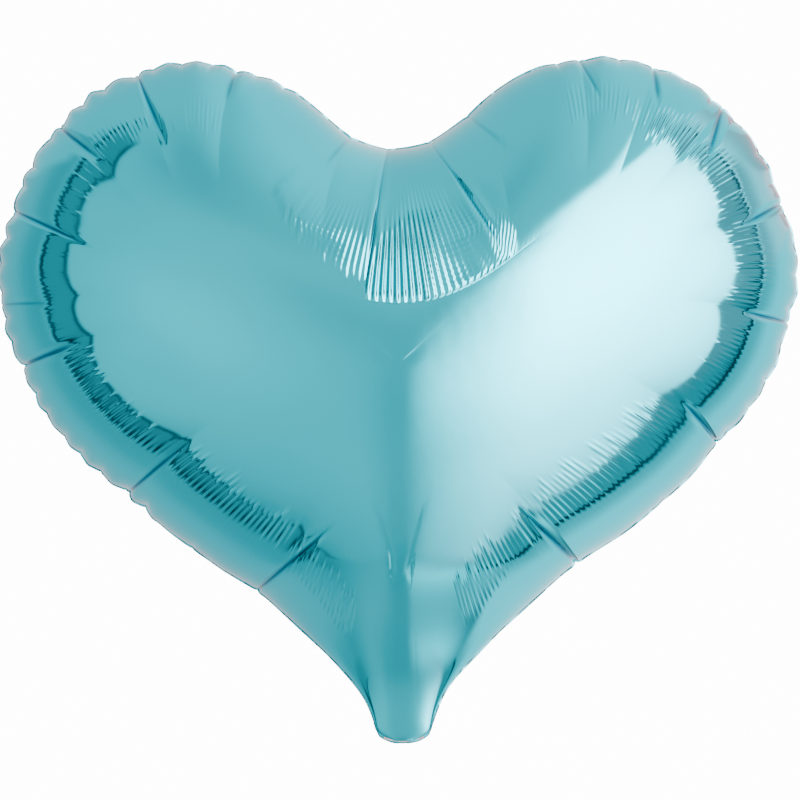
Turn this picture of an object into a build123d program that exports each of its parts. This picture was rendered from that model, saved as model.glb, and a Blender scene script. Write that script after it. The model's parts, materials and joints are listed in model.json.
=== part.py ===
from build123d import *

import os

import numpy as np

# Heart-shaped foil balloon, filled with gas: two foils welded round the edge, a flat filling
# valve between them at the neck, and the filling tail folded up behind the neck.
#
# Millimetres, +Z up. The weld lies in the XZ plane and the front foil faces -Y. The origin is
# the middle of the neck, at the height where a ribbon is tied or a stick's cup takes hold.

os.makedirs("parts", exist_ok=True)

# ---- balloon ------------------------------------------------------------------------------
HALF_WIDTH = 190.0  # widest half, to the foil's cut edge
WIDEST_Z = 207.0
LOBE_X = 95.5
LOBE_TOP_Z = 311.3
CLEFT_Z = 269.7  # bottom of the dip between the lobes
LIP_Z = -14.3  # bottom of the neck, where the foil folds into the tail
NECK_HALF_WIDTH = 13.9
CROWN_DEPTH = 74.0  # half the filled thickness, where it is fullest
NECK_FLATNESS = 0.55  # the folded tail presses the neck flatter than a full tube
NECK_FREE_Z = 70.0  # above this height the gas fills the foil freely

# ---- films --------------------------------------------------------------------------------
FOIL = 0.4  # stands for a foil of 0.03 mm
VALVE_FILM = 0.2
VALVE_SEAL = 0.2
WELD = 2 * VALVE_FILM + VALVE_SEAL  # the two foils lie this far apart at the weld
WELD_WIDTH = 1.2

# ---- valve --------------------------------------------------------------------------------
VALVE_WIDTH = 19.0
VALVE_TOP_Z = 96.0
VALVE_SEAL_WIDTH = 2.5
VALVE_SIDE_GAP = 0.2  # from the valve's side to the foil weld beside it

# ---- tail ---------------------------------------------------------------------------------
TAIL_WIDTH = 25.0
TAIL_LENGTH = 55.0
TAIL_LEAN = 38.0  # degrees from the vertical, folded up behind the neck
FOLD_GAP = 0.9  # from the corner of the neck's lip to the fold's axis, backward and downward

# Right half of the foil's cut edge, from the dip round the lobe and down to the lip: (x, z).
EDGE = [
    (0, CLEFT_Z),
    (24.6, 277.8),
    (47.9, 295.3),
    (LOBE_X, LOBE_TOP_Z),
    (150.0, 292.5),
    (182.6, 244.6),
    (HALF_WIDTH, WIDEST_Z),
    (180.4, 168.0),
    (154.6, 129.7),
    (112.2, 91.4),
    (62.5, 53.1),
    (32.5, 24.4),
    (18.2, 5.3),
    (NECK_HALF_WIDTH, -6.2),
    (12.4, -10.2),
    (8.1, -12.9),
    (4.0, -14.0),
    (0, LIP_Z),
]
CROWN = np.array([0.0, 166.0])  # the fullest point, which every depth contour goes round
DEPTH_SHARES = [0.0, 0.12, 0.28, 0.46, 0.64, 0.79, 0.9, 0.965, 0.993]
FINE = 400  # points on a half row while it is being worked out
COARSE = 44  # points on a half row once it becomes a curve
CROWDING = 0.75  # how much closer the curve's points stand at the neck than at the dip


# ---- rows of points: each is the right half of a closed curve, from the top middle down -----
def spaced(row, shares):
    """Points on the row at these shares of its length, its two ends on the middle line."""
    steps = np.linalg.norm(np.diff(row, axis=0), axis=1)
    along = np.concatenate([[0], np.cumsum(steps)])
    wanted = shares * along[-1]
    points = np.stack([np.interp(wanted, along, row[:, 0]), np.interp(wanted, along, row[:, 1])], axis=1)
    points[[0, -1], 0] = 0
    return points


def evenly(row, count):
    return spaced(row, np.linspace(0, 1, count + 1))


def outward(row):
    """Unit normals of a row, pointing away from the balloon's middle."""
    along = np.gradient(row, axis=0)
    along[[0, -1], 1] = 0
    normal = np.stack([-along[:, 1], along[:, 0]], axis=1)
    return normal / np.linalg.norm(normal, axis=1, keepdims=True)


def inset(row, distance):
    """The row moved inward by a distance, which may be one number or one for each point."""
    moved = row - outward(row) * np.reshape(distance, (-1, 1))
    moved[[0, -1], 0] = 0
    gaps = np.linalg.norm(moved[:, None, :] - row[None, :, :], axis=2).min(axis=1)
    return moved[gaps > 0.98 * np.broadcast_to(distance, gaps.shape)]


def edge_row():
    half = Spline(*[(x, 0, z) for x, z in EDGE], tangents=[(1, 0, 0), (-1, 0, 0)])
    points = [half.position_at(i / FINE) for i in range(FINE + 1)]
    return np.array([(p.X, p.Z) for p in points])


def closed_wire(row, y):
    """A smooth closed curve at depth y through a half row and its mirror image."""
    even = np.linspace(0, 1, COARSE + 1)
    shares = even * (1 + CROWDING * (1 - even))
    right = spaced(row, shares)
    left = right[-2:0:-1] * (-1, 1)
    points = [Vector(x, y, z) for x, z in np.vstack([right, left])]
    parameters = [float(share) for share in np.concatenate([shares, 2 - shares[-2::-1]])]
    return Wire([Edge.make_spline(points, periodic=True, parameters=parameters)])


def slab(row, y_low, y_high):
    """A flat plate with the row as its outline."""
    face = Face(closed_wire(row, y_high))
    return extrude(face, amount=y_high - y_low, dir=(0, -1, 0))


def together(pieces):
    """Several loose solids that make one piece."""
    return Compound(children=[piece.solid() for piece in pieces])


# ---- filled shape ---------------------------------------------------------------------------
class FilledDepth:
    """How deep the filled foil stands over its flat outline.

    A soap film over the outline is nothing at the rim and fullest in the middle. The foil's
    depth is its square root, which makes the rim round like a tube. The film is worked out from
    point sources spaced along a curve just outside the rim.
    """

    SOURCE_OFFSET = 12.0

    def __init__(self, rim):
        half = evenly(rim, 60)
        sources = half + outward(half) * self.SOURCE_OFFSET
        self.sources = np.vstack([sources, sources[-2:0:-1] * (-1, 1)])
        whole = np.vstack([half, half[-2:0:-1] * (-1, 1)])
        self.weights = np.linalg.lstsq(self.kernel(whole), self.paraboloid(whole), rcond=None)[0]
        self.scale = 1.0
        self.scale = CROWN_DEPTH / self.at(CROWN[None, :])[0]

    def paraboloid(self, points):
        return ((points - CROWN) ** 2).sum(axis=1) / 2

    def kernel(self, points):
        gap = points[:, None, :] - self.sources[None, :, :]
        return np.hstack([np.log((gap**2).sum(axis=2)), np.ones((len(points), 1))])

    def at(self, points):
        film = self.kernel(points) @ self.weights - self.paraboloid(points)
        share = np.clip((points[:, 1] - LIP_Z) / (NECK_FREE_Z - LIP_Z), 0, 1)
        freedom = NECK_FLATNESS + (1 - NECK_FLATNESS) * share * share * (3 - 2 * share)
        return self.scale * freedom * np.sqrt(np.clip(film, 0, None))

    def contour(self, rim, depth):
        """The half row where the foil stands this deep, one point between crown and each rim point."""
        low, high = np.zeros(len(rim)), np.ones(len(rim))
        for _ in range(40):
            middle = (low + high) / 2
            deeper = self.at(CROWN + (rim - CROWN) * middle[:, None]) > depth
            low, high = np.where(deeper, middle, low), np.where(deeper, high, middle)
        return evenly(CROWN + (rim - CROWN) * low[:, None], FINE)

    def slope(self, row):
        step = outward(row) * 0.01
        return np.abs(self.at(row - step) - self.at(row + step)) / 0.02


def filled_half(filled, rim, foil, side):
    """The space on one side of the weld under the foil's outer face, or its inner face."""
    wires = [closed_wire(inset(rim, foil) if foil else rim, side * WELD / 2)]
    for share in DEPTH_SHARES[1:]:
        depth = share * CROWN_DEPTH
        if share == DEPTH_SHARES[-1]:
            depth -= foil
        row = filled.contour(rim, depth)
        if foil:
            row = inset(row, foil * np.sqrt(1 + 1 / filled.slope(row) ** 2))
        wires.append(closed_wire(row, side * (WELD / 2 + depth)))
    return Solid.make_loft(wires)


def foil_panel(filled, edge, rim, side):
    """One foil: its filled shell and the flat flange that takes the weld."""
    shell = filled_half(filled, rim, 0, side) - filled_half(filled, rim, FOIL, side)
    low, high = sorted((side * WELD / 2, side * (WELD / 2 + FOIL)))
    flange = slab(edge, low, high) - slab(inset(rim, FOIL / 2), low - WELD, high + WELD)
    return shell + flange


edge = edge_row()
rim = inset(edge, WELD_WIDTH)
filled = FilledDepth(rim)

front_foil = foil_panel(filled, edge, rim, -1)
back_foil = foil_panel(filled, edge, rim, 1)

# ---- the weld between the flanges, open at the lip where the valve comes through -------------
valve_opening = Pos(0, 0, LIP_Z) * Box(VALVE_WIDTH + 2 * VALVE_SIDE_GAP, 2 * WELD, 60)
edge_weld = slab(edge, -WELD / 2, WELD / 2) - slab(rim, -WELD, WELD) - valve_opening


# ---- the valve: two soft films sealed along their sides, open at the top ---------------------
lip_z_at_valve_side = np.interp(-VALVE_WIDTH / 2, -edge[-40:, 0], edge[-40:, 1])
valve_outline = Polyline(
    (-VALVE_WIDTH / 2, 0, lip_z_at_valve_side),
    (-VALVE_WIDTH / 2, 0, VALVE_TOP_Z),
    (VALVE_WIDTH / 2, 0, VALVE_TOP_Z),
    (VALVE_WIDTH / 2, 0, lip_z_at_valve_side),
)
valve_lip = ThreePointArc(valve_outline @ 0, (0, 0, LIP_Z), valve_outline @ 1)
valve_face = Face(Wire([*valve_outline.edges(), valve_lip]))


def valve_strip(x_low, x_high, y_low, y_high):
    """The part of the valve between these sides, with its lower end curved like the lip."""
    whole = Pos(0, y_high, 0) * extrude(valve_face, amount=y_high - y_low, dir=(0, -1, 0))
    return whole & Pos((x_low + x_high) / 2, 0, 0) * Box(x_high - x_low, 4 * WELD, 4 * VALVE_TOP_Z)


valve_front = valve_strip(-VALVE_WIDTH / 2, VALVE_WIDTH / 2, -WELD / 2, -VALVE_SEAL / 2)
valve_back = valve_strip(-VALVE_WIDTH / 2, VALVE_WIDTH / 2, VALVE_SEAL / 2, WELD / 2)
seal_inner_x = VALVE_WIDTH / 2 - VALVE_SEAL_WIDTH
valve_seals = together(
    [
        valve_strip(-VALVE_WIDTH / 2, -seal_inner_x, -VALVE_SEAL / 2, VALVE_SEAL / 2),
        valve_strip(seal_inner_x, VALVE_WIDTH / 2, -VALVE_SEAL / 2, VALVE_SEAL / 2),
    ]
)

# ---- the tail, folded up: local x across it, y along it from the fold, z toward the neck ------
fold_y = WELD / 2 + FOIL + FOLD_GAP
fold_z = LIP_Z - FOLD_GAP
lean = np.radians(TAIL_LEAN)
tail_plane = Plane(
    origin=(0, fold_y, fold_z),
    x_dir=(1, 0, 0),
    z_dir=(0, -np.cos(lean), np.sin(lean)),
)


def tail_strip(x_low, x_high, z_low, z_high):
    strip = Box(x_high - x_low, TAIL_LENGTH, z_high - z_low)
    strip = Pos((x_low + x_high) / 2, TAIL_LENGTH / 2, (z_low + z_high) / 2) * strip
    return tail_plane.location * strip


def fold_bend():
    """The outer foil's half-round bend at the fold, centred on the fold's axis."""
    ring = Cylinder(WELD / 2 + FOIL, TAIL_WIDTH) - Cylinder(WELD / 2, TAIL_WIDTH)
    ring = Rot(0, 90, 0) * ring
    bend = ring & Pos(0, -FOIL * 5, 0) * Box(TAIL_WIDTH, FOIL * 10, FOIL * 10)
    return tail_plane.location * bend


half_tail = TAIL_WIDTH / 2
half_valve = VALVE_WIDTH / 2
weld_inner_x = half_valve + VALVE_SIDE_GAP
tail_front = tail_strip(-half_tail, half_tail, -WELD / 2 - FOIL, -WELD / 2) + fold_bend()
tail_back = tail_strip(-half_tail, half_tail, WELD / 2, WELD / 2 + FOIL)
tail_welds = together(
    [
        tail_strip(-half_tail, -weld_inner_x, -WELD / 2, WELD / 2),
        tail_strip(weld_inner_x, half_tail, -WELD / 2, WELD / 2),
    ]
)
tail_valve_front = tail_strip(-half_valve, half_valve, -WELD / 2, -VALVE_SEAL / 2)
tail_valve_back = tail_strip(-half_valve, half_valve, VALVE_SEAL / 2, WELD / 2)
tail_valve_seals = together(
    [
        tail_strip(-half_valve, -seal_inner_x, -VALVE_SEAL / 2, VALVE_SEAL / 2),
        tail_strip(seal_inner_x, half_valve, -VALVE_SEAL / 2, VALVE_SEAL / 2),
    ]
)

# ---- files ----------------------------------------------------------------------------------
pieces = {
    "front_foil": front_foil,
    "back_foil": back_foil,
    "edge_weld": edge_weld,
    "valve_front_film": valve_front,
    "valve_back_film": valve_back,
    "valve_side_seals": valve_seals,
    "tail_front_foil": tail_front,
    "tail_back_foil": tail_back,
    "tail_side_welds": tail_welds,
    "tail_valve_front_film": tail_valve_front,
    "tail_valve_back_film": tail_valve_back,
    "tail_valve_side_seals": tail_valve_seals,
}
for name, piece in pieces.items():
    box = piece.bounding_box()
    print(name, piece.is_valid, len(piece.solids()), round(piece.volume, 1), box)
    export_step(piece, f"parts/{name}.step")
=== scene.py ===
# %% [markdown]
# # A heart-shaped foil balloon
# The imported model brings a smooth, correctly sized heart: two thin shells, the weld between them,
# a flat valve and a folded tail. A real foil balloon is never smooth. Foil bends but hardly
# stretches, so when a flat heart fills with gas its edge has too much length, and gathers into
# creases, scallops and fine pleats. This lesson makes that gathered foil as two new meshes.

# %% Load the frame
import json

import bpy
import numpy as np
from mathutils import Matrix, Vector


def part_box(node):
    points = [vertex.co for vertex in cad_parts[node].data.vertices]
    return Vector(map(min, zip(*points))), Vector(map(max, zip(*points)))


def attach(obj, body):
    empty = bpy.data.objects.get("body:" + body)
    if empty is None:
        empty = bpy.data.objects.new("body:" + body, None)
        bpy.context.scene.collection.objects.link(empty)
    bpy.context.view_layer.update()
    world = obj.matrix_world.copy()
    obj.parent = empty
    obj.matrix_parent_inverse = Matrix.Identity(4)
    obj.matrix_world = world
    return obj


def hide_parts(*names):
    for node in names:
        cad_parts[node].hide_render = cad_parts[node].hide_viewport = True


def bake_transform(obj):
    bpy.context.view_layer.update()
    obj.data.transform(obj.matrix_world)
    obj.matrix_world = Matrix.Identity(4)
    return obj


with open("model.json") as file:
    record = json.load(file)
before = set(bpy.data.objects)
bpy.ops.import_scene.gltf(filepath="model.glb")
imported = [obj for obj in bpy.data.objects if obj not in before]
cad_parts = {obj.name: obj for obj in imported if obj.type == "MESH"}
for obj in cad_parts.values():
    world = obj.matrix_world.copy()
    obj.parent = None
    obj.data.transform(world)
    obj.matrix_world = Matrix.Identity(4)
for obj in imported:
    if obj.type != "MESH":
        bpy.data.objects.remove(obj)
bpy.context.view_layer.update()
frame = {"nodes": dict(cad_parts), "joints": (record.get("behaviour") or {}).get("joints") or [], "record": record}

MM = 0.001  # Blender works in metres, the foil is laid out in millimetres
nodes = frame["nodes"]

# %% [markdown]
# ## The edge of the foil
# Everything on the balloon starts from its welded edge. The CAD foil has a flat flange there, and
# the faces on the flange's outer side give the edge exactly. Their corners are some way apart, so
# a smooth curve is put through them and cut into short, even steps. Reading the edge from the
# model means that the wrinkled foil always fits it.

# %% The foil's edge, as closely spaced points
CROWN = np.array([0.0, 166.0])  # across and up: the fullest point of the balloon
FLANGE_BACK = 0.35  # the flange's back face lies this near the weld's plane
FACES_SIDEWAYS = 0.1  # the edge's faces point along the weld's plane, to within this much
SHORTEST_GAP = 0.8  # corners nearer than this to the last one add nothing
CURVE_STEPS = 24  # points on the curve from each corner to the next


def flange_corners(node):
    """Corners (x, z) on the outer side of a CAD foil's flange, in order round the crown."""
    corners = {}
    for face in node.data.polygons:
        centre = np.array(face.center) / MM - (CROWN[0], 0, CROWN[1])
        normal = np.array(face.normal)
        in_plane = abs(centre[1]) <= 2 * FLANGE_BACK and abs(normal[1]) <= FACES_SIDEWAYS
        if not in_plane or normal @ centre < 0:
            continue
        for index in face.vertices:
            x, y, z = np.array(node.data.vertices[index].co) / MM
            if abs(y) < FLANGE_BACK:
                corners[(round(x, 2), round(z, 2))] = np.arctan2(x - CROWN[0], z - CROWN[1])
    return np.array(sorted(corners, key=corners.get))


def smooth_loop(points, count):
    """A closed smooth curve through unevenly spaced points, cut into equal steps."""
    gap_before = np.linalg.norm(points - np.roll(points, 1, axis=0), axis=1)
    points = points[gap_before > SHORTEST_GAP]
    ahead = np.roll(points, -1, axis=0) - points
    gap = np.linalg.norm(ahead, axis=1, keepdims=True)
    gap_before = np.roll(gap, 1, axis=0)
    heading = ahead / gap
    heading_before = np.roll(heading, 1, axis=0)
    heading = (heading * gap_before + heading_before * gap) / (gap + gap_before)
    start, stop = points[:, None, :], np.roll(points, -1, axis=0)[:, None, :]
    leave = (heading * gap)[:, None, :]
    arrive = (np.roll(heading, -1, axis=0) * gap)[:, None, :]
    t = np.linspace(0, 1, CURVE_STEPS, endpoint=False)[None, :, None]
    curve = (2 * t**3 - 3 * t**2 + 1) * start + (3 * t**2 - 2 * t**3) * stop
    curve = curve + (t**3 - 2 * t**2 + t) * leave + (t**3 - t**2) * arrive
    return even_loop(curve.reshape(-1, 2), count)


def even_loop(curve, count):
    """A closed loop of points cut into equal steps."""
    closed = np.vstack([curve, curve[:1]])
    along = np.concatenate([[0], np.cumsum(np.linalg.norm(np.diff(closed, axis=0), axis=1))])
    wanted = np.linspace(0, along[-1], count, endpoint=False)
    return np.stack([np.interp(wanted, along, closed[:, i]) for i in (0, 1)], axis=1)


def outward(loop):
    """Unit normals of a closed loop that runs clockwise as the camera sees it."""
    along = np.roll(loop, -1, axis=0) - np.roll(loop, 1, axis=0)
    normal = np.stack([-along[:, 1], along[:, 0]], axis=1)
    return normal / np.linalg.norm(normal, axis=1, keepdims=True)


EDGE_STEPS = 4000
corners = flange_corners(nodes["front_foil"])
edge = smooth_loop(corners, EDGE_STEPS)
from_dip = np.where(edge[:, 1] > CROWN[1], np.abs(edge[:, 0]), np.inf)
edge = np.roll(edge, -np.argmin(from_dip), axis=0)
perimeter = np.linalg.norm(edge - np.roll(edge, 1, axis=0), axis=1).sum()
print("edge corners:", len(corners), "perimeter:", round(perimeter), "mm")

# %% [markdown]
# ## How full the balloon is at each place
# A soap film stretched over a heart-shaped frame and blown up a little bulges most where the
# frame is widest. The square root of its height is a good guess at the depth of a filled foil
# pillow, because it makes the rim round like a tube. The film is a paraboloid plus the pull of
# point sources placed just outside the rim, so it has an exact slope everywhere, which the next
# steps follow.

# %% The soap film, its slope and the filled depth
SEAM = 1.0  # width of the flat weld that shows outside the gas
SOURCES, SOURCE_OFFSET = 125, 12.0  # how many point sources, and how far outside the rim
NECK_FLATNESS, NECK_FREE_Z = 0.22, 76.0  # the folded tail presses the neck flat
LIP_Z = edge[:, 1].min()
HALF_WELD = 0.3  # each foil lies this far from the weld's plane
crown_depth = -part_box("front_foil")[0][1] / MM - HALF_WELD

rim = edge - outward(edge) * SEAM
every = EDGE_STEPS // SOURCES
sources = (rim + outward(rim) * SOURCE_OFFSET)[::every]


def film_parts(points):
    """From each point to each source: the way there, and its length squared."""
    gap = points[:, None, :] - sources[None, :, :]
    return gap, (gap**2).sum(axis=2)


def paraboloid(points):
    return ((points - CROWN) ** 2).sum(axis=1) / 2


def source_terms(points):
    squared = film_parts(points)[1]
    return np.hstack([np.log(squared), np.ones((len(points), 1))])


strengths = np.linalg.lstsq(source_terms(rim[::every]), paraboloid(rim[::every]), rcond=None)[0]


def film(points):
    return source_terms(points) @ strengths - paraboloid(points)


def film_slope(points):
    gap, squared = film_parts(points)
    return 2 * np.einsum("ps,psk->pk", strengths[:-1] / squared, gap) - (points - CROWN)


film_scale = crown_depth / np.sqrt(film(CROWN[None, :])[0])


def in_pieces(work, points, size=20000):
    """Runs work on a long list of points a piece at a time, which keeps the memory small."""
    return np.concatenate([work(points[i : i + size]) for i in range(0, len(points), size)])


print("crown depth:", round(crown_depth, 1), "mm, film scale:", round(film_scale, 3))

# %% [markdown]
# ## Where the foil gathers
# Creases start at the weld and run inward. The list is the balloon's own character: how far round
# the weld each crease starts from the dip (plus to the right, minus to the left), where it ends,
# and how deep and how wide it is. Between two creases the gas pushes the foil out into a pillow.
# Small scallops with sharp valleys fill the outer lobes, where the edge has most spare length.

# %% Creases, scallops and pleats
# start round the weld, end (x, z), depth, half-width
CREASES = [
    (-4, (-15, 200), 1.5, 0.9),
    (16, (48, 221), 1.8, 1.0),
    (-22, (-34, 258), 0.5, 1.6),
    (38, (56, 263), 0.4, 1.6),
    (-86, (-80, 290), 1.0, 1.6),
    (-134, (-107, 270), 1.6, 1.5),
    (-180, (-136, 262), 2.0, 1.6),
    (-226, (-141, 222), 1.6, 1.5),
    (-272, (-161, 197), 0.8, 1.3),
    (-303, (-147, 179), 2.2, 1.9),
    (-383, (-96, 133), 1.8, 1.6),
    (-460, (-31, 92), 1.7, 1.6),
    (99, (98, 287), 0.9, 1.4),
    (135, (124, 285), 1.3, 1.4),
    (174, (144, 256), 1.6, 1.5),
    (228, (160, 228), 2.0, 1.6),
    (286, (160, 189), 1.7, 1.5),
    (353, (129, 151), 2.2, 1.8),
    (442, (54, 100), 2.6, 2.0),
]
# from, to round the weld; spacing of the small valleys; their depth
SCALLOPS = [(-392, -62, 12.5, 1.5), (88, 345, 16.0, 0.9), (353, 442, 45.0, 0.5), (-462, -392, 35.0, 0.5)]
# from, to round the weld; pleat spacing at the weld; nearest and farthest from it; height
PLEATS = [
    (-134, -82, 2.9, 14, 34, 0.10),
    (-180, -134, 2.9, 14, 32, 0.26),
    (-226, -180, 2.8, 18, 32, 0.22),
    (-272, -226, 2.8, 14, 30, 0.12),
    (-303, -272, 2.8, 14, 30, 0.12),
    (-383, -303, 2.9, 12, 34, 0.32),
    (-460, -383, 2.9, 12, 40, 0.36),
    (-512, -460, 2.8, 10, 34, 0.30),
    (85, 135, 2.8, 10, 30, 0.28),
    (135, 174, 2.8, 10, 34, 0.34),
    (174, 228, 2.8, 12, 32, 0.34),
    (228, 286, 2.8, 10, 32, 0.30),
    (286, 353, 2.8, 12, 32, 0.16),
    (353, 442, 2.9, 14, 42, 0.36),
    (442, 506, 2.8, 12, 38, 0.32),
]
PLAIN_SPACING = 9.0  # as if pleats were this far apart where there are none
# Below the dip the pleats open like a fan from one point: from and to angle (degrees from straight
# down), angle between pleats, nearest and farthest from that point at each side, how much nearer
# the middle ones start, and height.
FAN_POINT = np.array([0.0, 293.6])
FAN_PLEATS = [
    (-9.5, 33.5, 2.05, (68, 99.5), (60, 104), 24, 1.15),
    (-52.0, -11.0, 2.05, (46, 74), (56, 92), 0, 0.42),
    (34.0, 39.0, 1.7, (72, 96), (72, 90), 0, 0.45),
]
FAN_GRID = (-38, 42, 0.85)  # from and to round the weld, spacing: the grid is fine all over the fan


def round_weld(distance):
    """A distance from the dip, minus to the left, as a distance clockwise from the dip."""
    return np.mod(distance, perimeter)


def pleat_spacing(along):
    spacing = np.full(along.shape, PLAIN_SPACING)
    for start, stop, pitch, *_ in [*PLEATS, FAN_GRID]:
        inside = round_weld(along - start) < stop - start
        spacing[inside] = np.minimum(spacing[inside], pitch)
    return spacing


# Count the pleats on the way round, after blurring the sudden changes of spacing.
along = np.arange(EDGE_STEPS) * perimeter / EDGE_STEPS
density = 1 / pleat_spacing(along)
HALF_BLUR = 6
blur = np.hanning(2 * HALF_BLUR + 1)
wrapped = np.concatenate([density[-HALF_BLUR:], density, density[:HALF_BLUR]])
density = np.convolve(wrapped, blur / blur.sum(), "valid")
count_at = np.concatenate([[0], np.cumsum(density)]) * perimeter / EDGE_STEPS
pleat_count = round(count_at[-1])
count_at *= pleat_count / count_at[-1]
print("pleats and gaps round the weld:", pleat_count)

# %% [markdown]
# ## A grid that follows the foil
# Pleats run straight in from the weld, so the mesh's columns do too: each column starts at the weld
# and walks up the steepest slope of the soap film. Low down it turns little by little toward the
# crown, because the slope there leads to the middle line, where the columns would crowd together.
# Such lines meet the weld squarely, never cross, and spread out below the dip just as the pleats
# there do. Each pleat gets five columns. The rows are close together round the rim, where the foil
# curves most. Past the pleats the columns are halved again and again on the way to the crown.

# %% Columns and rows
PER_PLEAT = 5
HALVINGS = 4
columns = int(np.ceil(pleat_count * PER_PLEAT / 2**HALVINGS)) * 2**HALVINGS
phase = np.arange(columns) * pleat_count / columns  # which pleat, and how far across it
column_along = np.interp(phase, count_at, np.arange(EDGE_STEPS + 1) * perimeter / EDGE_STEPS)


def on_loop(loop, wanted):
    steps = np.arange(EDGE_STEPS + 1) * perimeter / EDGE_STEPS
    closed = np.vstack([loop, loop[:1]])
    return np.stack([np.interp(wanted, steps, closed[:, i]) for i in (0, 1)], axis=1)


def ease(value, low, high):
    """0 below low, 1 above high and a smooth ramp between; low may be the larger of the two."""
    share = np.clip((value - low) / (high - low), 0, 1)
    return share * share * (3 - 2 * share)


ROUND_RADIUS, ROUND_TURN = 38.0, 1.22  # of the tube that the rim makes; radians that rows follow it
ROUND_STEP = 1.8
FACE_ROWS = [(50, 2.2), (74, 3.0)]  # further in: up to this far from the weld, a row each so much
turn = np.arange(0, ROUND_TURN, ROUND_STEP / ROUND_RADIUS)
rows = list(ROUND_RADIUS * (1 - np.cos(turn)))
for reach, step in FACE_ROWS:
    while rows[-1] < reach:
        rows.append(rows[-1] + step)
rows = np.array(rows)
LOW_DOWN = 100  # columns below this height turn toward the crown the most


def walk(points, distance, turn_to_crown):
    """One step up the film's slope, or partly toward the crown, taken as two half steps."""
    def uphill(place):
        slope, straight = film_slope(place), CROWN - place
        slope = slope / np.maximum(np.linalg.norm(slope, axis=1, keepdims=True), 1e-6)
        straight = straight / np.linalg.norm(straight, axis=1, keepdims=True)
        low_down = ease(place[:, 1:], CROWN[1], LOW_DOWN)
        heading = slope + (straight - slope) * turn_to_crown * low_down
        return heading / np.linalg.norm(heading, axis=1, keepdims=True)

    middle = points + uphill(points) * distance / 2
    return points + uphill(middle) * distance


# %% [markdown]
# The walk starts at the weld and stops at every row. Beyond the last row, rings shrink to the crown.

# %% Walking the columns inward
WALK_STEP = 1.2
TURN_FROM = 2  # a column begins to turn this far from the weld
NECK_TURNED, FACE_TURNED = 9, 46  # and has turned fully here: the narrow neck's columns sooner
TO_CROWN = (0.02, 0.05, 0.09, 0.14, 0.20, 0.27, 0.35, 0.43, 0.52, 0.61, 0.70, 0.79, 0.87, 0.94)
place = on_loop(rim, column_along)
all_turned = NECK_TURNED + (FACE_TURNED - NECK_TURNED) * ease(place[:, 1:], 10, 110)
bands = [place]
for low, high in zip(rows[:-1], rows[1:]):
    parts = max(1, int(np.ceil((high - low) / WALK_STEP)))
    share = ease(low, TURN_FROM, all_turned)
    for _ in range(parts):
        place = walk(place, (high - low) / parts, share)
    bands.append(place)
inner_rings = []
for level, share in enumerate(TO_CROWN):
    stride = 2 ** min(level + 1, HALVINGS)
    ring = bands[-1][::stride]
    inner_rings.append(ring + (CROWN - ring) * share)
print("columns:", columns, "rows:", len(rows), "rings inside:", [len(r) for r in inner_rings])

# %% [markdown]
# ## Pushing the smooth foil into its gathered shape
# Every point of the grid has a place on the smooth pillow and a direction square to it. The point
# then moves a little along that direction: out for the pillows between creases, in for creases and
# scallops, and out again for the fine pleats. Near the weld that direction lies in the weld's
# plane, so a crease also notches the balloon's outline, as it does on a real one.

# %% Pillows between creases, and scallops at the rim
PILLOW_RISE, HIGHEST_PILLOW = 0.032, 2.8  # a pillow's height for its width, and the limit to it
SCALLOP_EDGE = 1.7  # how sharp a scallop's valley is
rng = np.random.default_rng(7)
pleat_size = rng.uniform(0.45, 1.25, pleat_count + 1)
pleat_reach = rng.uniform(-0.16, 0.10, pleat_count + 1)


def pillows():
    """Outward push at each column, nothing at the creases and most halfway between them."""
    starts = np.sort([round_weld(c[0]) for c in CREASES])
    starts = np.concatenate([starts, starts[:1] + perimeter])
    here = np.where(column_along < starts[0], column_along + perimeter, column_along)
    which = np.searchsorted(starts, here, side="right") - 1
    which = np.clip(which, 0, len(starts) - 2)
    gap = starts[which + 1] - starts[which]
    share = (here - starts[which]) / gap
    above_neck = 0.15 + 0.85 * ease(bands[0][:, 1], 5, 70)  # the neck is too narrow for pillows
    height = np.minimum(PILLOW_RISE * gap, HIGHEST_PILLOW)
    return height * (1 - np.abs(2 * share - 1) ** 2.4) * above_neck


def scallops():
    """Outward push at each column: small domes with sharp valleys between them."""
    push = np.zeros(columns)
    for start, stop, spacing, depth in SCALLOPS:
        count = max(2, round((stop - start) / spacing))
        drift = rng.uniform(-0.15, 0.15, count + 1)
        valleys = start + (stop - start) * (np.arange(count + 1) + drift) / count
        sizes = rng.uniform(0.5, 1.2, count + 1) * depth
        for valley, size in zip(valleys, sizes):
            away = round_weld(column_along - valley + perimeter / 2) - perimeter / 2
            push -= size * np.exp(-np.abs(away) / SCALLOP_EDGE)
            beside = np.abs(away) - spacing / 2
            push += 0.35 * size * np.exp(-(beside**2) / (0.2 * spacing) ** 2)
    return push


# %% [markdown]
# Fine pleats are folds 2 to 3 mm apart. Along the rim they run straight in from the weld. Below the
# dip they open like a fan.

# %% Fine pleats, along the rim and in the fan
PLEAT_MARGIN = 4  # a group of pleats fades out over this much at each end


def pleats(distance):
    """Outward push at each column, at this distance from the weld."""
    which = phase.astype(int)
    across = np.sin(np.pi * (phase - which)) ** 2
    push = np.zeros(columns)
    for start, stop, _, near, far, height in PLEATS:
        inside = round_weld(column_along - start)
        window = ease(inside, 0, PLEAT_MARGIN)
        window = window * ease(inside, stop - start, stop - start - PLEAT_MARGIN)
        reach = far * (1 + pleat_reach[which])
        along_pleat = ease(distance, near, near + 0.6 * (far - near)) * ease(distance, reach, reach - 4)
        push += window * along_pleat * height * pleat_size[which] * across
    return push


FAN_RAGGED = 12  # how unevenly the fan's pleats end


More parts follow.
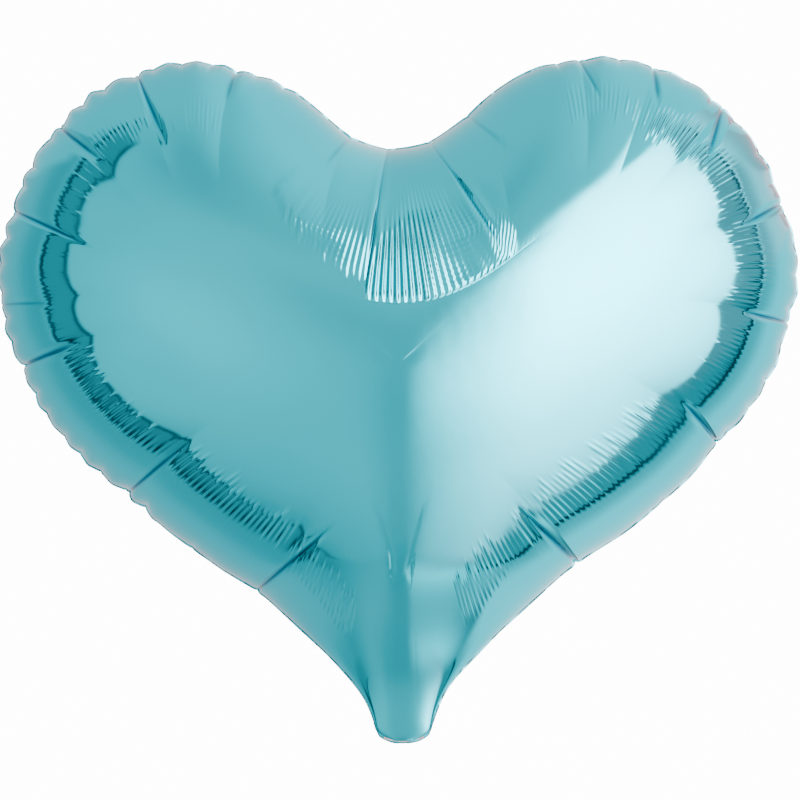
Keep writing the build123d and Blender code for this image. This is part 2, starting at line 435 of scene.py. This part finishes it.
def fan_pleats(points):
    """Outward push of the fan's pleats at these points (x, z)."""
    arm = points - FAN_POINT
    reach = np.hypot(arm[:, 0], arm[:, 1])
    angle = np.degrees(np.arctan2(arm[:, 0], -arm[:, 1]))
    push = np.zeros(len(points))
    for start, stop, step, first_side, last_side, sooner, height in FAN_PLEATS:
        count = round((stop - start) / step)
        turned = np.clip((angle - start) / (stop - start), 0, 0.9999) * count
        which = turned.astype(int)
        across = np.sin(np.pi * (turned - which)) ** 2
        share = turned / count
        near = first_side[0] + (last_side[0] - first_side[0]) * share
        near = near - sooner * (1 - (2 * share - 1) ** 2)
        far = first_side[1] + (last_side[1] - first_side[1]) * share + FAN_RAGGED * pleat_reach[which]
        along_pleat = ease(reach, near, near + 0.75 * (far - near)) * ease(reach, far, far - 3.5)
        push += along_pleat * height * (0.55 + 0.45 * pleat_size[which]) * across
    return push


# %% [markdown]
# A crease is a sharp groove between two soft lips. Its "fold_shade" says how closely the foil is
# folded there: the finish paints that much shade into the crease.

# %% Creases
LONG_CREASE = 50  # creases longer than this stay deep to their end
DEEPER, LIPS = 1.25, 0.45  # a groove's depth for the listed one; its raised sides for its depth
FOLDED_DEPTH = 1.6  # a crease this deep is folded so far that no more light gets in


def creases(points):
    """Inward push of the creases at these points (x, z), and how much fold shade is painted at each."""
    push, fold_shade = np.zeros(len(points)), np.zeros(len(points))
    for start, end, depth, half_width in CREASES:
        first = on_loop(rim, np.array([round_weld(start)]))[0]
        run = np.array(end) - first
        length = np.linalg.norm(run)
        run /= length
        t = (points - first) @ run / length
        off = (points - first) @ np.array([-run[1], run[0]])
        near = (t > -0.3) & (t < 1.15) & (np.abs(off) < 12 * half_width)
        taper = ease(t, 1.05, 0.55)
        if length > LONG_CREASE:
            taper = ease(t, 1.02, 0.9) * (0.25 + 0.75 * ease(t, 0, 0.7))
        wide = half_width * (0.7 + 0.6 * np.sin(np.pi * np.clip(t, 0, 1)))
        groove = np.exp(-np.sqrt(off**2 + 0.05) / wide)
        lips = LIPS * np.exp(-((off / (2.6 * wide)) ** 2))
        push += np.where(near, DEEPER * depth * taper * (groove - lips), 0)
        # The painted fold shade: strongest along the groove, and fuller the deeper the crease.
        folded = min(depth, FOLDED_DEPTH) / FOLDED_DEPTH
        fold_shade += np.where(near, folded * taper * np.exp(-((off / (0.5 * wide)) ** 2)), 0)
    return push, np.clip(fold_shade, 0, 1)


column_pillows, column_scallops = pillows(), scallops()
print("pillows up to", column_pillows.max().round(1), "mm")
print("scallops up to", column_scallops.min().round(1), "mm")

# %% [markdown]
# ## The gathered shape
# One function lays the grid on the front or the back. Both foils share the edge's pillows,
# scallops and creases, because they are welded together there. A filled heart also has a keel: a
# rounded ridge down its middle, from the crown to the neck. Pillows and pleats fade beside it.

# %% The smooth pillow with its keel
KEEL_HEIGHT, KEEL_ROUND, KEEL_FADE = 1.5, 12, 22
KEEL_FOOT, KEEL_TOP = (15, 60), (205, 165)  # heights between which the keel grows at each end


def smooth_shape(points, side):
    """Where the smooth pillow is over these points, and its direction outward: both (x, y, z)."""
    height = np.clip(in_pieces(film, points), 0, None)
    share = ease(points[:, 1], LIP_Z, NECK_FREE_Z) ** 1.6
    scale = film_scale * (NECK_FLATNESS + (1 - NECK_FLATNESS) * share)
    depth = scale * np.sqrt(height)
    slope = in_pieces(film_slope, points)
    spread = -(scale**2)[:, None] * slope / 2
    normal = np.stack([spread[:, 0], side * depth, spread[:, 1]], axis=1)
    normal /= np.maximum(np.linalg.norm(normal, axis=1, keepdims=True), 1e-9)
    from_keel = np.sqrt(points[:, 0] ** 2 + KEEL_ROUND**2) - KEEL_ROUND
    keel = KEEL_HEIGHT * np.exp(-from_keel / KEEL_FADE)
    keel *= ease(points[:, 1], *KEEL_FOOT) * ease(points[:, 1], *KEEL_TOP)
    place = np.stack([points[:, 0], side * (HALF_WELD + depth + keel), points[:, 1]], axis=1)
    return place, normal


# %% [markdown]
# Now all the pushes are added up, one ring of points at a time.

# %% Pushing every ring of points
PILLOW_FADE = (62, 6)  # pillows are gone this far from the weld, and full this near to it
SCALLOP_FADE = 3.2


def gathered_rings(side):
    """The foil's rings of points, and for each point how much fold shade is painted there."""
    rings, fold_shades = [], []
    for distance, points in zip(rows, bands):
        place, normal = smooth_shape(points, side)
        beside_keel = 1 - (1 - ease(np.abs(points[:, 0]), 1, 18)) * ease(points[:, 1], 222, 192)
        push = (column_pillows * ease(distance, *PILLOW_FADE) + pleats(distance)) * beside_keel
        push += column_scallops * np.exp(-((distance / SCALLOP_FADE) ** 2))
        groove, fold_shade = creases(points)
        push += fan_pleats(points) - groove
        rings.append(place + normal * push[:, None])
        fold_shades.append(fold_shade)
    for points in inner_rings:
        rings.append(smooth_shape(points, side)[0])
        fold_shades.append(np.zeros(len(points)))
    return rings, fold_shades


# %% [markdown]
# ## From rings to a skin
# The skin is quads all the way in from the weld. The rings inside are joined by triangles where a
# ring has half as many points as the one outside it, and a fan of triangles closes the crown.


# %% Faces between the rings
def ring_faces(rings, facing):
    """Faces between rings of points, and a fan over the last one's middle."""
    faces, first = [], 0
    for outer, inner in zip(rings[:-1], rings[1:]):
        count, second = len(outer), first + len(outer)
        a = np.arange(count)
        b = (a + 1) % count
        if len(inner) == count:
            quads = np.stack([first + a, first + b, second + b, second + a], axis=1)
            faces += quads[:, ::facing].tolist()
        else:
            half = np.arange(len(inner))
            after = (half + 1) % len(inner)
            odd, next_even = 2 * half + 1, (2 * half + 2) % count
            for corners_of in (
                (first + 2 * half, first + odd, second + half),
                (first + odd, first + next_even, second + after),
                (first + odd, second + after, second + half),
            ):
                faces += np.stack(corners_of, axis=1)[:, ::facing].tolist()
        first = second
    count = len(rings[-1])
    a = np.arange(count)
    middle = np.full(count, first + count)
    crown_fan = np.stack([first + a, first + (a + 1) % count, middle], axis=1)
    return faces + crown_fan[:, ::facing].tolist()


# %% [markdown]
# One function makes each foil: side is -1 for the front and 1 for the back.

# %% The two foils
def new_mesh(name, points, faces, smooth_count=None):
    """A mesh object from points in millimetres; faces after the first smooth_count are shaded flat."""
    if smooth_count is None:
        smooth_count = len(faces)
    smooth = np.arange(len(faces)) < smooth_count
    mesh = bpy.data.meshes.new(name)
    mesh.from_pydata((np.asarray(points) * MM).tolist(), [], faces)
    mesh.polygons.foreach_set("use_smooth", smooth)
    mesh.update()
    piece = bpy.data.objects.new(name, mesh)
    bpy.context.scene.collection.objects.link(piece)
    return piece


def gathered_foil(name, side):
    """One foil, and its outermost ring of points; "fold_shade" tells its finish where to paint crease shade."""
    rings, fold_shades = gathered_rings(side)
    crown = smooth_shape(CROWN[None, :], side)[0]
    piece = new_mesh(name, np.vstack(rings + [crown]), ring_faces(rings, side))
    fold_shade = piece.data.attributes.new("fold_shade", "FLOAT", "POINT")
    fold_shade.data.foreach_set("value", np.concatenate(fold_shades + [np.zeros(1)]).astype(np.float32))
    print(name, "faces:", len(piece.data.polygons))
    return piece, rings[0]


front, front_rim = gathered_foil("front_foil_gathered", -1)
back, back_rim = gathered_foil("back_foil_gathered", 1)
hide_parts("front_foil")
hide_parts("back_foil")

# %% [markdown]
# ## The weld
# The seam that shows is a narrow, stiff band where the two foils are melted together. It joins the
# rims of both foils, so it follows every notch, and it thins toward its cut edge, which waves a
# little from side to side. Each column gets four faces, shaded flat, because the cut edge is sharp.


# %% The weld band
HALF_CUT = 0.10  # half the weld's thickness at its cut edge


def weld_band():
    flat = (front_rim + back_rim)[:, [0, 2]] / 2
    wave = 0.18 * np.sin(column_along / 3.1) + 0.14 * np.sin(column_along / 1.7 + 2)
    width = SEAM * (0.85 + 0.15 * np.sin(column_along / 5.3))
    cut = flat + outward(flat) * width[:, None]
    cut_front = np.stack([cut[:, 0], wave - HALF_CUT, cut[:, 1]], axis=1)
    cut_back = np.stack([cut[:, 0], wave + HALF_CUT, cut[:, 1]], axis=1)
    sections = [front_rim, cut_front, cut_back, back_rim]
    a = np.arange(columns)
    b = (a + 1) % columns
    faces = []
    for k in range(len(sections)):
        low, high = k * columns, ((k + 1) % len(sections)) * columns
        faces += np.stack([low + a, high + a, high + b, low + b], axis=1).tolist()
    return new_mesh("weld_band", np.vstack(sections), faces, smooth_count=0)


weld = weld_band()
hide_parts("edge_weld")
for piece in (front, back, weld):
    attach(piece, "balloon")

# %% [markdown]
# ## The tail
# The balloon is filled through a tail: the same two foils, sealed along both sides, with the clear
# films of the valve running through to the inlet. It is folded up behind the neck. Its hinge and its
# length come from the record, and its lean from the way to the inlet.

# %% Where the tail lies
record = frame["record"]
hinge = np.array(frame["joints"][0]["pos_m"]) / MM
inlet_mount = next(mount for mount in record["mounts"] if mount["name"] == "filling_inlet")
inlet = np.array(inlet_mount["pos_m"]) / MM
TAIL_LENGTH = np.linalg.norm(inlet - hinge)
up_tail = (inlet - hinge) / TAIL_LENGTH
to_neck = np.cross([1.0, 0.0, 0.0], up_tail)
to_neck *= -np.sign(to_neck[1])
tail_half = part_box("tail_back_foil")[1][0] / MM
valve_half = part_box("tail_valve_back_film")[1][0] / MM
print("tail:", round(TAIL_LENGTH, 1), "by", round(2 * tail_half, 1), "mm; hinge at", hinge.round(2))

# %% [markdown]
# The neck ends in a shallow arc. The tail's films and the bend below them all follow that arc, so
# its height is read from the foil's edge.

# %% The neck's lip
LIP_RISE = 6  # the arc rises this much from its lowest point to its ends
low_part = edge[edge[:, 1] < 0]
low_part = low_part[np.argsort(low_part[:, 0])]
low_part = low_part[low_part[:, 1] < LIP_Z + LIP_RISE]


def lip_z(x):
    """Height of the curved end of the neck at this x."""
    return np.interp(x, low_part[:, 0], low_part[:, 1])


# %% [markdown]
# Strips as thin as these could be planes with a Solidify modifier. Here one helper turns any grid of
# points into a closed film instead, so that strips, seals and the bend are all made in the same way,
# and their rims are shaded flat, as a cut edge is.


# %% A thin closed film from a grid of points
def film_piece(name, grid, thickness):
    """grid holds rows of points in millimetres; the film lies half its thickness each side of them."""
    normal = np.cross(np.gradient(grid, axis=0), np.gradient(grid, axis=1))
    normal *= thickness / 2 / np.linalg.norm(normal, axis=2, keepdims=True)
    number = np.arange(grid.shape[0] * grid.shape[1]).reshape(grid.shape[:2])
    quads = np.stack([number[:-1, :-1], number[1:, :-1], number[1:, 1:], number[:-1, 1:]], axis=-1)
    top = quads.reshape(-1, 4)
    bottom = top[:, ::-1] + number.size
    border = np.concatenate([number[0, :-1], number[:-1, -1], number[-1, :0:-1], number[:0:-1, 0]])
    following = np.roll(border, -1)
    rim_faces = np.stack([border, following, following + number.size, border + number.size], axis=1)
    points = np.vstack([(grid + normal).reshape(-1, 3), (grid - normal).reshape(-1, 3)])
    faces = np.vstack([top, bottom, rim_faces]).tolist()
    return new_mesh(name, points, faces, smooth_count=2 * len(top))


# %% [markdown]
# All the films of the tail lie on one gently curled and rippled sheet, each at its own depth in it.
# That keeps them from cutting through each other, however the sheet bends.

# %% The sheet that the tail's films share
FILM = 0.16
START_ABOVE_LIP = 0.6  # the tail's films begin this much above the neck's lip
OUTER, INNER = -0.5, 0.5  # how far toward the neck each foil lies
CURL = 0.0011  # the tail curls away from the neck
ACROSS, ALONG = 72, 150  # points across the whole tail, and along it
RIB_STEP = 1.3  # from one rib of a seal to the next


def tail_place(x, s, toward_neck):
    """A point in space from a place on the tail, s up from the hinge."""
    curl = -CURL * np.clip(s - 12, 0, None) ** 2
    ripple = 0.10 * np.sin(s / 4.1 + x / 9) * ease(s, 10, 22)
    cupped = 0.35 * (x / tail_half) ** 2 * ease(s, 20, 55)
    off = (toward_neck + curl + (ripple + cupped))[..., None]
    return hinge + x[..., None] * np.array([1.0, 0, 0]) + s[..., None] * up_tail + off * to_neck


def above_lip(x):
    """How far up the tail a film starts, so that it clears the lip."""
    return (lip_z(x) + START_ABOVE_LIP - hinge[2] - OUTER * to_neck[2]) / up_tail[2]


def tail_film(name, from_x, to_x, toward_neck, past_end=0.0, ribs=0.0, thickness=FILM):
    count = max(4, int(ACROSS * (to_x - from_x) / (2 * tail_half)))
    x_line = np.linspace(from_x, to_x, count)
    starts = above_lip(x_line)
    share = np.linspace(0, 1, ALONG)[None, :]
    x = np.repeat(x_line[:, None], ALONG, axis=1)
    s = starts[:, None] + (TAIL_LENGTH + past_end - starts[:, None]) * share
    lift = toward_neck + ribs * np.sin(s * 2 * np.pi / RIB_STEP)
    return film_piece(name, tail_place(x, s, lift), thickness)


# %% [markdown]
# The tail has two foils, a ribbed heat seal down each side, and the two films of the inlet. These
# reach a little past the foils, one further than the other, so that a straw or a nozzle finds its
# way between them. Everything here rides on the tail's body.

# %% The films of the tail
SEAL = tail_half - valve_half - 0.2
SEAL_FILM, SLEEVE_FILM = 0.66, 0.1
outer = tail_film("tail_outer_film", -tail_half, tail_half, OUTER)
inner = tail_film("tail_inner_film", -tail_half, tail_half, INNER)
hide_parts("tail_front_foil")
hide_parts("tail_back_foil")
left_seal = (-tail_half + 0.02, -tail_half + SEAL)
right_seal = (tail_half - SEAL, tail_half - 0.02)
seals = [
    tail_film("tail_seal_left", *left_seal, 0.0, ribs=0.05, thickness=SEAL_FILM),
    tail_film("tail_seal_right", *right_seal, 0.0, ribs=0.05, thickness=SEAL_FILM),
]
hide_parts("tail_side_welds")
sleeve = [
    tail_film("inlet_film_outer", -valve_half, valve_half, -0.18, past_end=2.2, thickness=SLEEVE_FILM),
    tail_film("inlet_film_inner", -valve_half, valve_half, 0.18, past_end=3.4, thickness=SLEEVE_FILM),
]
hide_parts("tail_valve_front_film")
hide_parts("tail_valve_back_film", "tail_valve_side_seals")
for piece in (outer, inner, *seals, *sleeve):
    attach(piece, "tail")
print("the tail's outer film has", len(outer.data.polygons), "faces, a seal", len(seals[0].data.polygons))

# %% [markdown]
# ## The bend at the fold
# At the bottom of the neck the film turns back up into the tail. It belongs to both, so each row of
# the bend runs from the neck's lip, down and round, to the tail's outer foil.
# A curve with two handles gives each row its rounded turn.

# %% The bend
BEND_FILM = 0.2
NECK_HANDLE, TAIL_HANDLE = 2.7, 2.6  # how far the curve goes on straight at each end


def bend_grid():
    x = np.linspace(-tail_half, tail_half, 61)[:, None]
    t = np.linspace(0, 1, 25)[None, :, None]
    tail_end = tail_place(x, above_lip(x) + 0.8, np.full_like(x, OUTER - 0.02))
    neck_end = np.stack([x, np.full_like(x, -0.12), lip_z(x) + 1.0], axis=-1)
    down = neck_end + np.array([0, 0, -NECK_HANDLE])
    back_up = tail_end - up_tail * TAIL_HANDLE
    curve = (1 - t) ** 3 * neck_end + 3 * (1 - t) ** 2 * t * down
    return curve + 3 * (1 - t) * t**2 * back_up + t**3 * tail_end


bend = film_piece("fold_bend", bend_grid(), BEND_FILM)
print("bend reaches down to", round(min(v.co.z for v in bend.data.vertices) / MM, 2), "mm")

# %% [markdown]
# ## The foil's finish
# Balloon foil is a plastic film with a layer of aluminium behind a tinted coat, so it shines like
# coloured metal. A metallic shader with a low roughness does this. Three slow noises keep it from
# looking like a computer's perfect mirror: the tint drifts a little, the shine is duller in places,
# and the film has a faint ripple that bends what it reflects. These helpers make a material, a noise
# on it, and what a noise may drive: a number, a colour or the ripple.


# %% Helpers for materials
def new_material(name):
    material = bpy.data.materials.new(name)
    material.use_nodes = True
    tree = material.node_tree
    return material, tree, tree.nodes["Principled BSDF"]


def noise(tree, scale, detail=3.0, roughness=0.5):
    place = tree.nodes.get("Place") or tree.nodes.new("ShaderNodeTexCoord")
    place.name = "Place"
    texture = tree.nodes.new("ShaderNodeTexNoise")
    texture.inputs["Scale"].default_value = scale
    texture.inputs["Detail"].default_value = detail
    texture.inputs["Roughness"].default_value = roughness
    tree.links.new(place.outputs["Object"], texture.inputs["Vector"])
    return texture.outputs["Fac"]


NOISE_LOW, NOISE_HIGH = 0.3, 0.7  # most of a noise lies between these


def spread(tree, value, low, high):
    """The noise, spread between low and high."""
    node = tree.nodes.new("ShaderNodeMapRange")
    node.inputs["From Min"].default_value = NOISE_LOW
    node.inputs["From Max"].default_value = NOISE_HIGH
    node.inputs["To Min"].default_value = low
    node.inputs["To Max"].default_value = high
    tree.links.new(value, node.inputs["Value"])
    return node.outputs["Result"]


def colours(tree, value, first, second):
    """The noise, as a drift between two colours."""
    node = tree.nodes.new("ShaderNodeValToRGB")
    low, high = node.color_ramp.elements
    low.position, low.color = NOISE_LOW, (*first, 1)
    high.position, high.color = NOISE_HIGH, (*second, 1)
    tree.links.new(value, node.inputs["Fac"])
    return node.outputs["Color"]


def ripple(tree, value, strength, distance):
    bump = tree.nodes.new("ShaderNodeBump")
    bump.inputs["Strength"].default_value = strength
    bump.inputs["Distance"].default_value = distance
    tree.links.new(value, bump.inputs["Height"])
    return bump.outputs["Normal"]


# %% [markdown]
# ## Turquoise foil
# In a crease the light bounces from side to side of the fold, and takes on more of the tint each
# time, so creases look deep blue. Real bounces at the bottom of a groove this fine are slow to
# render, so the blue is painted shade: a value, "fold_shade", mixes it in. The welded band is the
# same foil made duller by the heat. The tail's inner film is satin: it has never been stretched smooth.

# %% The foil's three finishes
# Painted shade: the deep blue that the foil's creases are painted.
FOLD_SHADE_BLUE = (0.005, 0.17, 0.27, 1)


def foil_finish(name, first, second, dull, shine, metal=1.0):
    material, tree, shader = new_material(name)
    shader.inputs["Metallic"].default_value = metal
    # Painted shade: the tint is mixed toward deep blue as far as the fold_shade value goes.
    fold_shade = tree.nodes.new("ShaderNodeAttribute")
    fold_shade.attribute_name = "fold_shade"
    tint_and_fold_shade = tree.nodes.new("ShaderNodeMix")
    tint_and_fold_shade.data_type = "RGBA"
    tint_and_fold_shade.inputs["B"].default_value = FOLD_SHADE_BLUE
    tree.links.new(fold_shade.outputs["Fac"], tint_and_fold_shade.inputs["Factor"])
    tree.links.new(colours(tree, noise(tree, 9.0), first, second), tint_and_fold_shade.inputs["A"])
    tree.links.new(tint_and_fold_shade.outputs["Result"], shader.inputs["Base Color"])
    tree.links.new(spread(tree, noise(tree, 26.0), shine, dull), shader.inputs["Roughness"])
    tree.links.new(ripple(tree, noise(tree, 45.0, 2.0), 0.12, 0.0006), shader.inputs["Normal"])
    return material


turquoise_foil = foil_finish(
    "turquoise_foil", (0.048, 0.58, 0.68), (0.062, 0.62, 0.71), dull=0.11, shine=0.05
)
turquoise_weld = foil_finish(
    "turquoise_weld", (0.06, 0.48, 0.58), (0.08, 0.54, 0.63), dull=0.34, shine=0.24
)
turquoise_tail = foil_finish(
    "turquoise_tail", (0.06, 0.56, 0.66), (0.08, 0.60, 0.69), dull=0.42, shine=0.34, metal=0.55
)
print("foil finishes:", turquoise_foil.name, turquoise_weld.name, turquoise_tail.name)

# %% [markdown]
# ## Clear valve film
# The valve is made of clear plastic film, a little milky and not quite smooth. Letting most light
# through, with a low and uneven roughness, gives that.


# %% The valve's film
def clear_film(name):
    material, tree, shader = new_material(name)
    milky = colours(tree, noise(tree, 60.0), (0.80, 0.84, 0.86), (0.90, 0.92, 0.93))
    tree.links.new(milky, shader.inputs["Base Color"])
    tree.links.new(spread(tree, noise(tree, 140.0), 0.12, 0.30), shader.inputs["Roughness"])
    tree.links.new(ripple(tree, noise(tree, 90.0, 1.0), 0.1, 0.0004), shader.inputs["Normal"])
    shader.inputs["IOR"].default_value = 1.5
    shader.inputs["Transmission Weight"].default_value = 0.7
    return material


valve_film = clear_film("clear_valve_film")
print("valve finish:", valve_film.name)

# %% [markdown]
# ## Dressing the pieces
# Each piece gets its finish. The smooth CAD pieces get the same finishes, though most of them are
# replaced.


# %% A finish for every piece
def wear(piece, material):
    piece.data.materials.clear()
    piece.data.materials.append(material)


for piece in (front, back, bend, outer):
    wear(piece, turquoise_foil)
wear(inner, turquoise_tail)
wear(weld, turquoise_weld)
for piece in seals:
    wear(piece, turquoise_weld)
for piece in sleeve:
    wear(piece, valve_film)
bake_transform(bend)
for name, node in nodes.items():
    material = valve_film if "valve" in name else turquoise_weld if "weld" in name else turquoise_foil
    node.data.materials.clear()
    node.data.materials.append(material)
print("dressed the new pieces and", len(nodes), "CAD nodes")

# %% [markdown]
# ## The studio
# Shiny foil has hardly any look of its own: it shows the room. So the room is planned by where it
# is seen in the foil. The pale sweep behind the balloon shows in the outermost rim. Further in, the
# rim shows what stands beside the balloon: a gap of dark between grey side walls. The face shows
# what is around the camera: a soft grey room with one large softbox, up and to the right. All of
# this is painted on the sky, because a sky stands in nobody's way when the camera moves round. The
# painting is a sum of simple shapes, and these helpers do sums on it.

# %% Sums on the sky
world = bpy.data.worlds.new("studio_room")
bpy.context.scene.world = world
world.use_nodes = True
sky = world.node_tree
sky.nodes.clear()


def sum_node(kind, first, second=0.0):
    node = sky.nodes.new("ShaderNodeMath")
    node.operation = kind
    for socket, value in zip(node.inputs, (first, second)):
        if isinstance(value, (int, float)):
            socket.default_value = value
        else:
            sky.links.new(value, socket)
    return node.outputs[0]


def plus(first, second):
    return sum_node("ADD", first, second)


def minus(first, second):
    return sum_node("SUBTRACT", first, second)


def times(first, second):
    return sum_node("MULTIPLY", first, second)


def over(first, second):
    return sum_node("DIVIDE", first, second)


def ramp(value, low, high):
    """0 where the value is low, 1 where it is high; low may be the larger of the two."""
    node = sky.nodes.new("ShaderNodeMapRange")
    node.interpolation_type = "SMOOTHSTEP"
    node.inputs["From Min"].default_value, node.inputs["From Max"].default_value = low, high
    sky.links.new(value, node.inputs["Value"])
    return node.outputs["Result"]


def blend(share, under, on_top):
    """under where share is 0, on_top where it is 1."""
    return plus(times(minus(1.0, share), under), times(share, on_top))


# %% [markdown]
# ## A plan of the room
# A direction is given as on a star map: x and y are the degrees to the right and up from the way to
# the camera, which is in the middle of the map. The foil's face shows the part of the map within
# about 55 degrees, its side walls show 60 to 85, and the rim shows what is beyond.

# %% Directions and shapes on the plan
direction = sky.nodes.new("ShaderNodeTexCoord").outputs["Generated"]
split = sky.nodes.new("ShaderNodeSeparateXYZ")
sky.links.new(direction, split.inputs[0])
to_right, away, upward = split.outputs
from_camera = sum_node("DEGREES", sum_node("ARCCOSINE", times(away, -1.0)))
sideways = sum_node("SQRT", plus(times(to_right, to_right), times(upward, upward)))
sideways = sum_node("MAXIMUM", sideways, 0.001)
x = times(over(to_right, sideways), from_camera)
y = times(over(upward, sideways), from_camera)


def ring(from_angle, to_angle, soft):
    """1 where the direction is this many degrees from the camera's."""
    rise = ramp(from_camera, from_angle - soft, from_angle + soft)
    return minus(rise, ramp(from_camera, to_angle - soft, to_angle + soft))


def blob(centre_x, centre_y, radius):
    """1 at a place on the plan, fading out round it."""
    off_x, off_y = minus(x, centre_x), minus(y, centre_y)
    squared = plus(times(off_x, off_x), times(off_y, off_y))
    return sum_node("EXPONENT", over(squared, -(radius**2)))


# %% [markdown]
# ## Around the camera
# The room behind the camera is a soft grey. It is darker toward the floor, except in the middle, and
# just left of the camera, where somebody stands. A pale card low down lights one half of the neck.
# The ceiling is paler on the right, and its front edge is darker.

# %% The grey room and its ceiling
ROOM_GREY, CEILING_GREY = 0.88, 0.86
off_middle = ramp(sum_node("ABSOLUTE", x), 10, 36)
floor_shade = times(ramp(y, -22, -62), plus(0.16, times(off_middle, 0.28)))
light = minus(ROOM_GREY, floor_shade)
somebody = times(ramp(x, -14, -3), ramp(y, 28, 14))
light = minus(light, times(somebody, 0.16))
light = plus(light, times(blob(-30, 0, 16), 0.22))
overhead = ramp(y, 24, 38)
ceiling = plus(CEILING_GREY, times(ramp(x, -12, 28), 0.30))
light = blend(times(overhead, ramp(from_camera, 34, 50)), light, ceiling)
light = minus(light, times(times(overhead, blob(-12, 44, 14)), 0.18))
low_card = times(ramp(x, 2, 8), blob(18, -76, 20))
light = plus(light, low_card)

# %% [markdown]
# ## The softbox
# One large softbox stands to the right of the camera. It is brightest in its middle. Its left edge
# is sharp at the top and grows softer lower down, and two slanting edges close it above and below.

# %% One large softbox
SOFTBOX_EDGE_LIGHT, SOFTBOX_MIDDLE_LIGHT = 0.75, 5.6
SHARPEST, SOFTEST = 8.0, 30.0  # degrees over which its left edge fades
softbox = plus(SOFTBOX_EDGE_LIGHT, times(blob(25, 13, 44), SOFTBOX_MIDDLE_LIGHT))
below = sum_node("MAXIMUM", minus(20.0, y), 0.0)
softness = sum_node("MINIMUM", plus(SHARPEST, times(below, 0.5)), SOFTEST)
left_edge = plus(1.0, times(ramp(y, -12, 10), 3.5))
lit = ramp(over(minus(x, left_edge), softness), 0.0, 1.0)
upper_edge = minus(plus(34.0, times(x, 0.57)), y)
lit = times(lit, ramp(upper_edge, 0.0, 5.0))
lower_edge = plus(minus(y, x), 90.0)
lit = times(lit, ramp(lower_edge, -6, 8))
light = blend(lit, light, softbox)

# %% [markdown]
# ## The side walls
# On each side stands a grey wall, seen in the foil as a band inside the rim, with a dark gap where
# it ends. Beyond the gap comes the pale sweep behind the balloon, brighter on the softbox's side.
# Something dark stands low down on the left.

# %% Left and right of the balloon
LEFT_WALL, RIGHT_WALL = 0.44, 0.58
DARK_LINE, LEFT_GAP, RIGHT_GAP = 0.12, 0.03, 0.08
left = times(ramp(x, -22, -36), ramp(y, 64, 54))
wall = minus(LEFT_WALL, times(blob(-62, -43, 13), 0.42))
light = blend(times(left, ring(58.5, 78, 1.2)), light, wall)
light = blend(times(left, ring(58.4, 60.2, 0.6)), light, DARK_LINE)
light = blend(times(left, times(ring(73.5, 77.0, 0.8), ramp(y, -40, -30))), light, LEFT_GAP)
sweep = plus(0.56, times(ramp(from_camera, 84, 112), 0.16))
light = blend(times(left, ring(78, 180, 6)), light, sweep)

right_side = times(ramp(x, 36, 44), ramp(y, 58, 46))
wall_shade = times(ramp(y, -14, -34), plus(0.10, times(ramp(x, 62, 72), 0.22)))
wall = minus(RIGHT_WALL, wall_shade)
light = blend(times(right_side, ring(61, 84, 1.0)), light, wall)
light = blend(times(right_side, ring(81.5, 84.5, 0.7)), light, RIGHT_GAP)
sweep = plus(0.74, times(ramp(from_camera, 88, 108), 0.52))
light = blend(times(right_side, ring(86, 180, 2)), light, sweep)

# %% [markdown]
# ## Painting it
# The light gets a warm tinge, most of all in the softbox, so that the foil's darkest reflections are
# not pure turquoise and its highlight is nearly white. Looked at directly, the sky is an even white,
# as if the balloon hung before a bright sweep.

# %% The finished sky
BACKGROUND = 7.0  # what the camera sees behind the balloon: white
shown = sky.nodes.new("ShaderNodeLightPath").outputs["Is Camera Ray"]
paint = sky.nodes.new("ShaderNodeCombineColor")
warm_light = plus(light, plus(0.12, times(times(lit, light), 1.15)))
for socket, tinted in zip(paint.inputs, (warm_light, light, plus(light, 0.02))):
    sky.links.new(blend(shown, tinted, BACKGROUND), socket)
background = sky.nodes.new("ShaderNodeBackground")
sky.links.new(paint.outputs[0], background.inputs["Color"])
output = sky.nodes.new("ShaderNodeOutputWorld")
sky.links.new(background.outputs[0], output.inputs["Surface"])
print("sky nodes:", len(sky.nodes))

# %% [markdown]
# ## Floor
# The balloon hangs above a wide pale floor. A floor this near would fill half of what the foil
# reflects, where the planned room should be, so it is left out of mirror reflections.

# %% A pale floor
FLOOR_Z, FLOOR_RADIUS = -0.30, 1.3
bpy.ops.mesh.primitive_circle_add(
    vertices=96, radius=FLOOR_RADIUS, fill_type="NGON", location=(0, 0.15, FLOOR_Z)
)
floor = bpy.context.object
floor.name = "pale_floor"
floor_paint, floor_tree, floor_shader = new_material("pale_floor_paint")
pale = colours(floor_tree, noise(floor_tree, 3.0), (0.80, 0.84, 0.84), (0.83, 0.87, 0.87))
floor_tree.links.new(pale, floor_shader.inputs["Base Color"])
floor_shader.inputs["Roughness"].default_value = 0.8
floor.data.materials.append(floor_paint)
floor.visible_glossy = False
print("floor at", FLOOR_Z, "m")

# %% [markdown]
# ## Camera
# The camera stands straight in front, far off, with a long lens, which keeps the heart's shape true.
# It leans a touch to one side, so that the heart leans the other way. A view transform with soft
# highlights lets the softbox fade to white without a hard edge.

# %% Camera
DISTANCE = 1.9
VIEW_WIDTH = 0.3829  # how much of the balloon's plane the picture takes in
LEAN = 0.0136  # radians
CAMERA_X, CAMERA_Z = 0.0004, 0.1494  # the middle of the picture
camera_data = bpy.data.cameras.new("camera")
camera_data.lens = camera_data.sensor_width * DISTANCE / VIEW_WIDTH
camera = bpy.data.objects.new("camera", camera_data)
bpy.context.scene.collection.objects.link(camera)
camera.rotation_mode = "XYZ"
camera.rotation_euler = (np.pi / 2, LEAN, 0)
camera.location = (CAMERA_X, -DISTANCE, CAMERA_Z)
bpy.context.scene.camera = camera
bpy.context.scene.view_settings.view_transform = "AgX"
bpy.context.scene.view_settings.look = "AgX - Medium High Contrast"
print("lens:", round(camera_data.lens), "mm")
